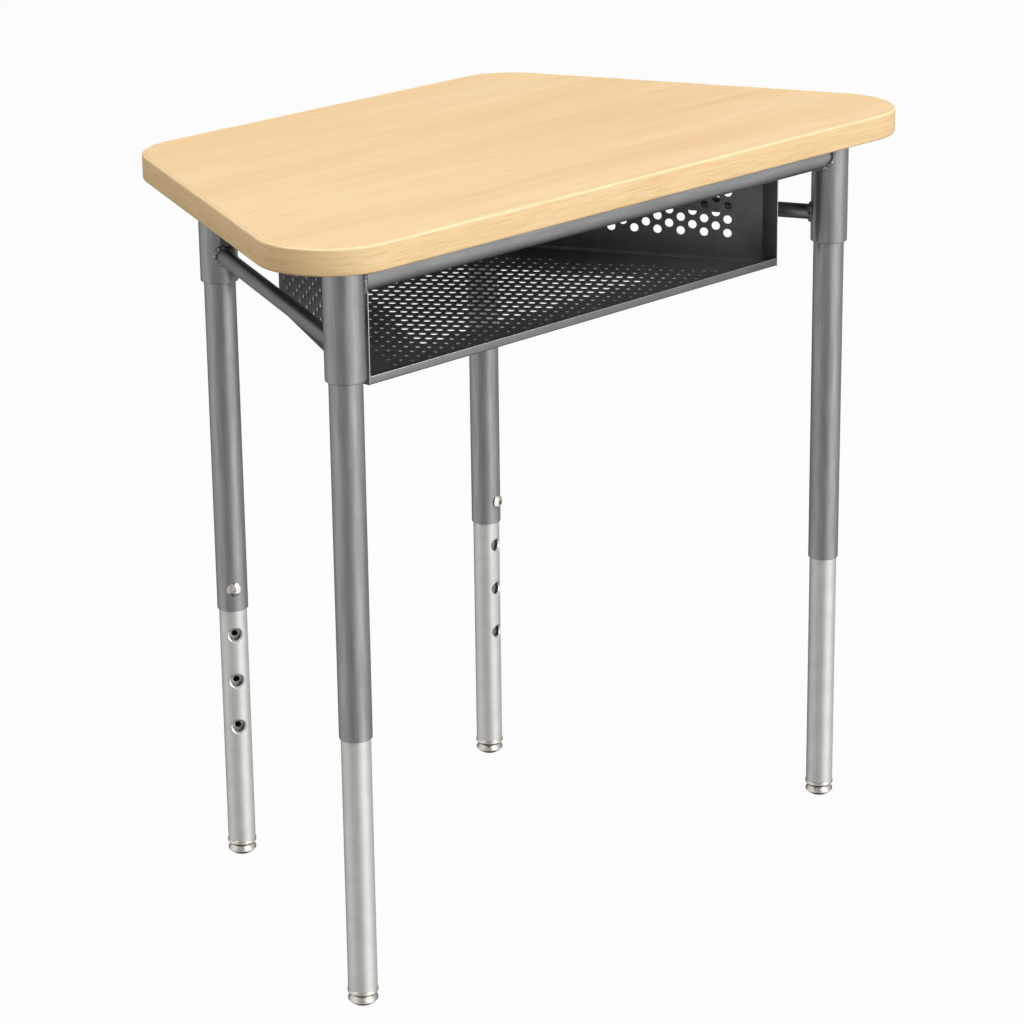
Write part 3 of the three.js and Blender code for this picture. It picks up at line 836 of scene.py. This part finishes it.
nutStrip = {
    "behind": 7.0 * mm, "thick": 1.6 * mm, "margin": 12 * mm, "gap": 0.05 * mm, "ease": 0.3 * mm,
    "holes": {"diameter": 7.0 * mm, "depth": 4.8 * mm, "around": 24},
}


# The strip inside an insert that the leg screw bites into, with a hole behind each of the insert's
def makeNutStrip(name, bore, heights):
    heading = screwHeading(name)
    way = Vector((cos(heading), sin(heading)))
    across = Vector((-way.y, way.x))
    face = bore - nutStrip["behind"]
    back = face - nutStrip["thick"]
    half = sqrt((bore - nutStrip["gap"]) ** 2 - face ** 2)
    low = heights[0] - nutStrip["margin"]
    high = heights[-1] + nutStrip["margin"]
    corners = [(face, -half), (face, half), (back, half), (back, -half)]
    outline = [legAxis[name] + way * depth + across * side for depth, side in corners]
    piece = buildMesh("nut_strip_" + name, *plate(outline, low, high), satin)
    bevel(piece, nutStrip["ease"])
    middle = legAxis[name] + way * ((face + back) / 2)
    left, right = (middle + across * side for side in (-half, half))
    perforate(
        piece, nutStrip["holes"], [(*left, low), (*right, low), (*right, high), (*left, high)],
        origin=(*middle, heights[0]), columnStep=(0, 0, 0), rowStep=(0, 0, insert["pitch"]),
        columns=1, rows=insert["holes"], facing=(*way, 0),
    )
    keep(piece, name + "_leg", "nickel")


glide = {
    "around": 72, "arcSteps": 12, "clearance": 0.1 * mm,
    "stem": 3.0 * mm, "ball": 5.0 * mm, "ballHeight": 6 * mm, "cupGap": 0.35 * mm, "cupTop": radians(36),
    "collar": 4.2 * mm, "collarLowRound": 1.5 * mm, "collarHighRound": 0.5 * mm,
    "plugLowRound": 0.2 * mm, "plugHighRound": 1 * mm,
    "baseRadius": 8.5 * mm, "topRadius": 11.5 * mm, "lowRise": 4 * mm, "topFall": 4 * mm,
    "sideRound": 5 * mm, "rimRound": 0.8 * mm,
}


# A glide's plug with its ball, and the foot whose cup holds the ball, both turned from below
def makeGlides():
    for name in legNames:
        plug = "glide_plug_" + name
        foot = "glide_foot_" + name
        ballHeight = glide["ballHeight"]
        insertLow = spanOf("leg_insert_" + name)[0]
        seat = insertLow - glide["clearance"]
        collarLow = insertLow - glide["collar"]
        plugHigh = spanOf(plug)[1]
        bore = radiusOf("leg_insert_" + name) - insert["wall"] - glide["clearance"]
        ballTop = acos(glide["stem"] / glide["ball"])
        ball = arc(glide["ball"], -pi / 2, ballTop, glide["arcSteps"], y=ballHeight)
        plugProfile = ball + rounded([
            (glide["stem"], collarLow, 0),
            (radiusOf(plug), collarLow, glide["collarLowRound"]),
            (radiusOf(plug), seat, glide["collarHighRound"]),
            (bore, seat, glide["plugLowRound"]),
            (bore, plugHigh, glide["plugHighRound"]),
            (0, plugHigh, 0),
        ])
        footHigh = spanOf(foot)[1]
        cup = arc(glide["ball"] + glide["cupGap"], glide["cupTop"], -pi / 2, glide["arcSteps"], y=ballHeight)
        footProfile = rounded([
            (0, 0, 0),
            (glide["baseRadius"], 0, glide["rimRound"]),
            (radiusOf(foot), glide["lowRise"], glide["sideRound"]),
            (radiusOf(foot), footHigh - glide["topFall"], glide["sideRound"]),
            (glide["topRadius"], footHigh, glide["rimRound"]),
            (cup[0][0], footHigh, 0),
        ]) + cup
        for node, body, profile in [(plug, "_leg", plugProfile), (foot, "_foot", footProfile)]:
            points, faces = turned(profile, glide["around"], legAxis[name])
            piece = buildMesh(node + "_turned", points, faces, bright, smooth=50)
            keep(piece, name + body, "glide_nickel", node)
    print("legs made")


# Screws

screws = {
    "leg": {
        "head": 14.4 * mm, "tall": 3.4 * mm, "shank": 6 * mm, "length": 1.5 * mm,
        "slot": 1.8 * mm, "reach": 3.0 * mm,
    },
    "wood": {
        "head": 9.5 * mm, "tall": 2.6 * mm, "shank": 4.2 * mm, "length": 3 * mm,
        "slot": 1.2 * mm, "reach": 2.3 * mm,
    },
    "rim": 0.8 * mm, "domeSteps": 8, "around": 48,
    "recessDepth": 0.8, "recessTaper": (0.55, 0.75), "cutterAbove": 1 * mm, "seed": 7,
}


# A domed head that faces +Z, with its seat at the origin and a cross recess
def screwShape(which):
    size = screws[which]
    tall = size["tall"]
    half = size["head"] / 2
    shank = size["shank"] / 2
    rise = tall - screws["rim"]
    ball = (half ** 2 + rise ** 2) / (2 * rise)
    profile = [(0, -size["length"]), (shank, -size["length"]), (shank, 0), (half, 0)]
    profile += arc(ball, pi / 2 - asin(half / ball), pi / 2, screws["domeSteps"], y=tall - ball)
    head = buildMesh("screw_shape_" + which, *turned(profile, screws["around"]), zinc)
    reach = size["reach"]
    slot = size["slot"] / 2
    narrow, thin = screws["recessTaper"]
    outline = [(-reach, -slot), (reach, -slot), (reach, slot), (-reach, slot)]
    bottom = [(x * narrow, y * thin, tall - tall * screws["recessDepth"]) for x, y in outline]
    top = [(x, y, tall + screws["cutterAbove"]) for x, y in outline]
    for turn in (0, pi / 2):
        cutter = buildMesh("recess", *loft([bottom, top]), zinc)
        cutter.data.transform(Matrix.Rotation(turn, 4, "Z"))
        cut = head.modifiers.new("recess", "BOOLEAN")
        cut.object = cutter
        cut.operation = "DIFFERENCE"
        cut.solver = "EXACT"
        settle(head)
        bpy.data.objects.remove(cutter)
    reshape(head.data, dropSlivers)
    return head


def screwTree():
    labels = {"Object": "shape", "Int": "seed", "Material": "material"}
    group, tree, given = geometryTree("screwsOnSeats", labels)
    shape = tree.node("GeometryNodeObjectInfo", {"Object": given["shape"]}, out="Geometry")
    facing = tree.node("GeometryNodeInputNamedAttribute", {"Name": "facing"}, data_type="FLOAT_VECTOR")
    spin = {"Axis": (0, 0, 1), "Angle": tree.random(0.0, 2 * pi, given["seed"])}
    turns = {"Rotation": tree.turnTo(facing), "Rotate By": tree.node("FunctionNodeAxisAngleToRotation", spin)}
    turn = tree.node("FunctionNodeRotateRotation", turns, rotation_space="LOCAL")
    endTree(tree, tree.lay(Points=given["Geometry"], Instance=shape, Rotation=turn), given["material"])
    return group


# Lays screws of one kind on seats, each a place and the way that the head faces.
def layScrews(name, which, seats, nodes, material, slot):
    mesh = newMesh(name, [place for place, _ in seats])
    facing = mesh.attributes.new("facing", "FLOAT_VECTOR", "POINT")
    for value, (_, way) in zip(facing.data, seats):
        value.vector = way
    piece = placed(name, mesh)
    shape = screwShape(which)
    applyTree(piece, screwTree(), {"shape": shape, "seed": screws["seed"], "material": material}, smooth=35)
    bpy.data.objects.remove(shape)
    keep(piece, "desk", slot, *nodes)


def makeScrews():
    seats = []
    for name in legNames:
        heading = screwHeading(name)
        way = Vector((cos(heading), sin(heading), 0))
        seat = legAxis[name].to_3d() + way * radiusOf("leg_tube_" + name)
        seat.z = sum(spanOf("leg_screw_" + name)) / 2
        seats.append((seat, way))
    layScrews("leg_screws", "leg", seats, ["leg_screw_" + name for name in legNames], bright, "nickel")
    nodes = [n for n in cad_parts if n.startswith(("box_screw_", "tab_screw_"))]
    seats = [((*axisOf(node), spanOf(node)[0] + screws["wood"]["tall"]), (0, 0, -1)) for node in nodes]
    layScrews("wood_screws", "wood", seats, nodes, zinc, "zinc")
    print("screws made")


# Book box

bookBox = {
    "sheet": 1.0 * mm, "gap": 0.3 * mm, "squareRun": 20 * mm, "rearSideClearance": 20.6 * mm,
    "bend": 3.2 * mm, "bendSteps": 8, "lipBend": 2.4 * mm, "lipEdge": 0.6 * mm,
    "flange": 14 * mm, "flangeMargin": 10 * mm, "ease": 0.3 * mm, "flangeEase": 0.2 * mm,
    "fold": 2.8 * mm, "foldGap": 0.05 * mm,
}
floorHoles = {
    "first": Vector((6.66, -9.15)) * mm,
    "second": Vector((14.1, 6.85)) * mm,
    "phase": Vector((10.37, 4.11)) * mm,
    "eachWay": 26, "around": 12, "depth": 3 * mm,
    "diameter": 8.0 * mm, "middle": 5.6 * mm, "smallest": 3.6 * mm,
}
floorMargins = {
    "end": {"front": 24 * mm, "wall": 44 * mm, "rear": 12 * mm},
    "full": {"front": 62 * mm, "wall": 92 * mm, "rear": 20 * mm},
}
wallHoles = {"diameter": 9.0 * mm, "depth": 4 * mm, "around": 24, "stagger": 0.5}
wallGrid = {
    "pitch": 14.4 * mm, "column": 12.5 * mm,
    "front": 37.6 * mm, "rear": 16 * mm, "low": 29.4 * mm, "high": 22 * mm,
}
sheet = bookBox["sheet"]
floorLow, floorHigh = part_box("book_box_floor")
boxFront = floorLow.y
boxBend = boxFront + bookBox["squareRun"]
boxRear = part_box("book_box_left_wall")[1].y
boxFloor = floorLow.z
boxHalf = floorHigh.x + sheet + bookBox["gap"]
boxRearHalf = legAxis["rear_right"].x - bookBox["rearSideClearance"]
boxLean = atan2(boxHalf - boxRearHalf, boxRear - boxBend)
slant = (boxRear - boxBend) / cos(boxLean)


# Half the box's width inside its walls, at a depth, as far in from the walls as asked
def insideHalf(y, inset):
    straight = boxHalf - sheet - inset
    if y <= boxBend:
        return straight
    return straight - (y - boxBend) * tan(boxLean) - inset * (1 / cos(boxLean) - 1)


# The floor's outline, in from its front, its walls and its rear
def floorOutline(front, wall, rear):
    near = boxFront + front
    bend = max(boxBend, near + 1 * mm)
    half = [(insideHalf(y, wall), y) for y in (near, bend, boxRear - sheet - rear)]
    return [(x, y, boxFloor) for x, y in half] + [(-x, y, boxFloor) for x, y in reversed(half)]


def makeBoxFloor():
    lipTop = floorHigh.z
    rear = floorHigh.y
    bend = boxBend - sheet

    # The side view's line, along the outside or as deep in the sheet as asked
    def line(depth):
        front, low = boxFront + depth, boxFloor + depth
        bent = rounded([(front, lipTop, 0), (front, low, bookBox["lipBend"] - depth), (rear, low, 0)])
        return [*bent[:-1], (bend, low), bent[-1]]

    def place(side, y, z):
        return side * (floorHigh.x if y <= bend + nearly else insideHalf(y, bookBox["gap"])), y, z

    outline = line(0) + line(sheet)[::-1]
    sections = [[place(side, y, z) for y, z in outline] for side in (-1, 1)]
    piece = buildMesh("book_box_floor_sheet", *loft(sections, thin=True), boxPaint)
    bevel(piece, bookBox["ease"])
    # The grid runs as far both ways from the phase, enough to fill the floor.
    eachWay = floorHoles["eachWay"]
    origin = floorHoles["phase"] - floorHoles["first"] * eachWay - floorHoles["second"] * eachWay
    perforate(
        piece, floorHoles, floorOutline(**floorMargins["end"]), floorOutline(**floorMargins["full"]),
        origin=(*origin, boxFloor + sheet / 2), facing=(0, 0, 1), columns=2 * eachWay, rows=2 * eachWay,
        columnStep=(*floorHoles["second"], 0), rowStep=(*floorHoles["first"], 0),
    )
    # Painted highlight along the lip's top edge.
    markFaces(piece, "edge", lambda spot, normal: spot.z > lipTop - bookBox["lipEdge"])
    # Painted shade: lightly on the lip's front face, more on the floor's upper faces.
    markFaces(piece, "outside", lambda spot, normal: 0.2 if normal.y < -0.5 else 0.4 * (normal.z > 0.5))
    keep(piece, "desk", "box_paint", "book_box_floor")


# A point of a side wall: back from its bend, and outwards from its outer face
def wallSpot(side, back, outwards):
    x = boxHalf - back * sin(boxLean) + outwards * cos(boxLean)
    y = boxBend + back * cos(boxLean) + outwards * sin(boxLean)
    return Vector((side * x, y))


def makeSideWall(side, label):
    # The plan's line, along the outside or as deep in the sheet as asked
    def line(depth):
        x, y = boxHalf - depth, boxBend - depth * tan(boxLean / 2)
        corners = [(x, boxFront, 0), (x, y, bookBox["bend"] - depth), (*wallSpot(1, slant, -depth), 0)]
        return [(side * x, y) for x, y in rounded(corners, bookBox["bendSteps"])]

    outline = line(0) + line(sheet)[::-1]
    sections = [[(x, y, z) for x, y in outline] for z in (boxFloor, underside)]
    piece = buildMesh(f"book_box_{label}_wall_sheet", *loft(sections, thin=True), boxPaint)
    bevel(piece, bookBox["ease"])
    pitch, column = wallGrid["pitch"], wallGrid["column"]
    near, far = (wallSpot(side, back, -sheet / 2) for back in (0, slant))
    way = (*(wallSpot(side, 0, 1) - wallSpot(side, 0, 0)), 0)
    perforate(
        piece, wallHoles, [(*near, boxFloor), (*far, boxFloor), (*far, underside), (*near, underside)],
        origin=(*wallSpot(side, wallGrid["front"], -sheet / 2), boxFloor + wallGrid["low"]), facing=way,
        columnStep=(*((far - near).normalized() * column), 0), rowStep=(0, 0, pitch),
        columns=int((slant - wallGrid["front"] - wallGrid["rear"]) / column) + 1,
        rows=int((underside - boxFloor - wallGrid["low"] - wallGrid["high"] - pitch / 2) / pitch) + 1,
    )
    flange = bookBox["flange"]
    start = bookBox["flangeMargin"]
    addFlange(piece, [wallSpot(side, back, out) for back, out in [
        (start, -sheet / 2), (start, 0), (start + flange, flange),
        (slant - flange, flange), (slant, 0), (slant, -sheet / 2),
    ]])
    outwards = Vector(way).normalized()

    # Painted highlight on the wall's cut edges, hole walls and front edge.
    def isEdge(spot, normal):
        isCut = abs(normal.dot(outwards)) < 0.5 and spot.z < underside - 1.5 * sheet
        return isCut or spot.y < boxFront + bookBox["ease"] * 1.1

    markFaces(piece, "edge", isEdge)
    # Painted shade on the wall's outer face.
    markFaces(piece, "outside", lambda spot, normal: normal.dot(outwards) > 0.5)
    keep(piece, "desk", "box_paint", f"book_box_{label}_wall")
    makeFold(side, label)


# The rounded fold between a side wall and the floor, as a fillet along the wall's inside
def makeFold(side, label):
    gap = bookBox["foldGap"]
    centre = bookBox["fold"] + gap
    section = [(gap, gap)] + arc(bookBox["fold"], pi, 3 * pi / 2, bookBox["bendSteps"], centre, centre)
    line = [
        (Vector((boxHalf - sheet, boxFront + 2 * sheet)), 0),
        (Vector((boxHalf - sheet, boxBend)), boxLean / 2),
        (wallSpot(1, slant - 2 * sheet, -sheet), boxLean),
    ]

    def place(spot, lean, inset, rise):
        return side * (spot.x - inset * cos(lean)), spot.y - inset * sin(lean), boxFloor + sheet + rise

    sections = [[place(spot, lean, inset, rise) for inset, rise in section] for spot, lean in line]
    piece = buildMesh(f"book_box_{label}_fold", *loft(sections), boxPaint)
    keep(piece, "desk", "box_paint")


def addFlange(piece, outline):
    flange = buildMesh("flange", *plate(outline, underside - sheet, underside), boxPaint)
    bevel(flange, bookBox["flangeEase"])
    reshape(piece.data, lambda shaped: shaped.from_mesh(flange.data))
    piece.data.set_sharp_from_angle(angle=radians(40))
    bpy.data.objects.remove(flange)


def makeRearWall():
    half = insideHalf(boxRear, bookBox["gap"])
    outline = [(-half, boxRear - sheet), (half, boxRear - sheet), (half, boxRear), (-half, boxRear)]
    piece = buildMesh("book_box_rear_sheet", *plate(outline, boxFloor, underside), boxPaint)
    bevel(piece, bookBox["ease"])
    reach = half - bookBox["flangeMargin"]
    flange = bookBox["flange"]
    addFlange(piece, [
        (-reach, boxRear - sheet / 2), (reach, boxRear - sheet / 2), (reach, boxRear),
        (reach - flange, boxRear + flange), (flange - reach, boxRear + flange), (-reach, boxRear),
    ])
    # Painted shade on the rear wall's outer face.
    markFaces(piece, "outside", lambda spot, normal: normal.y > 0.5)
    keep(piece, "desk", "box_paint", "book_box_rear_wall")


# Studio

studio = {
    "lamps": [
        {"name": "key", "from": (278, 28), "away": 7, "size": 4.2, "power": 390, "tint": (1, 1, 1)},
        {"name": "fill", "from": (152, 56), "away": 7, "size": 2.6, "power": 185, "tint": (1, 0.94, 0.84)},
        {"name": "top", "from": (60, 80), "away": 6, "size": 4.4, "power": 95, "tint": (1, 1, 1)},
    ],
    "aim": (0, 0, 0.5),
    "ambient": 0.24,
    "ring": {
        0: 0.5, 45: 0.12, 85: 0.3, 110: 0.85, 150: 1.1, 190: 0.62, 215: 0.45, 235: 0.62,
        262: 1.4, 283: 1.8, 300: 1.5, 330: 0.75, 360: 0.5,
    },
    "height": {-1.0: 0.15, -0.84: 0.25, -0.66: 1.0, 0.78: 1.0, 0.92: 0.35},
    "floorSize": 14,
    "floorColour": (140, 140, 140),
    "floorGlow": 0.975,
}
view = {
    "place": (-2.4145, -2.3969, 1.5229), "yaw": 46.88, "pitch": 18.95, "roll": -0.33,
    "focalPixels": 3499.6, "centrePixels": (581.5, 527.5), "imagePixels": 1024,
}


def makeLamps():
    for lamp in studio["lamps"]:
        data = bpy.data.lights.new(lamp["name"], "AREA")
        data.shape = "DISK"
        data.size = lamp["size"]
        data.energy = lamp["power"]
        data.color = lamp["tint"]
        heading, rise = (radians(a) for a in lamp["from"])
        away = Vector((cos(heading) * cos(rise), sin(heading) * cos(rise), sin(rise)))
        light = placed(lamp["name"], data)
        light.location = Vector(studio["aim"]) + away * lamp["away"]
        light.rotation_euler = away.to_track_quat("Z", "Y").to_euler()
        light.visible_camera = False


# What the camera sees, also by way of a mirror or a glass
def seenDirectly(tree):
    kinds = ("Camera", "Glossy", "Transmission")
    camera, glossy, clear = (tree.node("ShaderNodeLightPath", out=f"Is {kind} Ray") for kind in kinds)
    return tree.math("MAXIMUM", tree.math("MAXIMUM", camera, glossy), clear)


# A white background, a ring of bright and dark panels in glossy surfaces, and a dim light all round
def makeWorld():
    world = bpy.data.worlds.new("studio")
    bpy.context.scene.world = world
    tree = emptyTree(world)
    direct = seenDirectly(tree)
    glossy = tree.node("ShaderNodeLightPath", out="Is Glossy Ray")
    toward = tree.node("ShaderNodeTexCoord", out="Generated")
    east, north, rise = (tree.node("ShaderNodeSeparateXYZ", {0: toward}, out=axis) for axis in "XYZ")
    turn = tree.math("ARCTAN2", north, east) / (2 * pi)
    panels = {heading / 360: level / 2 for heading, level in studio["ring"].items()}
    bands = {(height + 1) / 2: level for height, level in studio["height"].items()}
    ring = tree.ramp(tree.math("FRACT", turn + 1.0), panels) * tree.ramp((rise + 1.0) * 0.5, bands)
    glow = direct * (1 - glossy) + glossy * ring * 2.0
    strength = glow + (1 - direct) * studio["ambient"]
    background = tree.node("ShaderNodeBackground", {"Color": (1, 1, 1, 1), "Strength": strength})
    tree.node("ShaderNodeOutputWorld", {"Surface": background})


# A matt floor that also glows for the camera, so that it is nearly white and keeps the desk's shadow
def makeFloor():
    half = studio["floorSize"] / 2
    corners = [(-half, -half, 0), (half, -half, 0), (half, half, 0), (-half, half, 0)]
    mesh = newMesh("studio_floor", corners, faces=[(0, 1, 2, 3)])
    material, tree = newMaterial("studio_floor")
    matt = tree.node("ShaderNodeBsdfDiffuse", {"Color": colour(studio["floorColour"])})
    glow = tree.node("ShaderNodeEmission", {"Color": (1, 1, 1, 1), "Strength": 1.0})
    share = seenDirectly(tree) * studio["floorGlow"]
    mixed = tree.node("ShaderNodeMixShader", {0: share, 1: matt, 2: glow})
    tree.node("ShaderNodeOutputMaterial", {"Surface": mixed})
    mesh.materials.append(material)
    floor = placed("studio_floor", mesh)
    floor.visible_glossy = False


def makeCamera():
    data = bpy.data.cameras.new("photo_view")
    pixels = view["imagePixels"]
    data.sensor_width = 36
    data.lens = view["focalPixels"] / pixels * data.sensor_width
    data.shift_x = (pixels / 2 - view["centrePixels"][0]) / pixels
    data.shift_y = (view["centrePixels"][1] - pixels / 2) / pixels
    data.clip_end = 50
    camera = placed("photo_view", data)
    turn = Matrix.Rotation(-radians(view["yaw"]), 4, "Z")
    tilt = Matrix.Rotation(pi / 2 - radians(view["pitch"]), 4, "X")
    roll = Matrix.Rotation(radians(view["roll"]), 4, "Z")
    camera.matrix_world = Matrix.Translation(view["place"]) @ turn @ tilt @ roll
    bpy.context.scene.camera = camera


makeCamera()
makeLamps()
makeWorld()
makeFloor()
makeWorktop()
makeTubes("frame_", "socket_", tubes["clearance"], tubes["socketRound"])
makeRails()
makeWelds()
makeTabs()
print("frame made")
makeTubes("upper_", "leg_tube_", -tubes["wall"], tubes["tubeRound"])
makeInserts()
makeGlides()
makeScrews()
makeBoxFloor()
makeSideWall(-1, "left")
makeSideWall(1, "right")
makeRearWall()
print("book box made")
bpy.context.scene.view_settings.view_transform = "Standard"

print("pieces done")
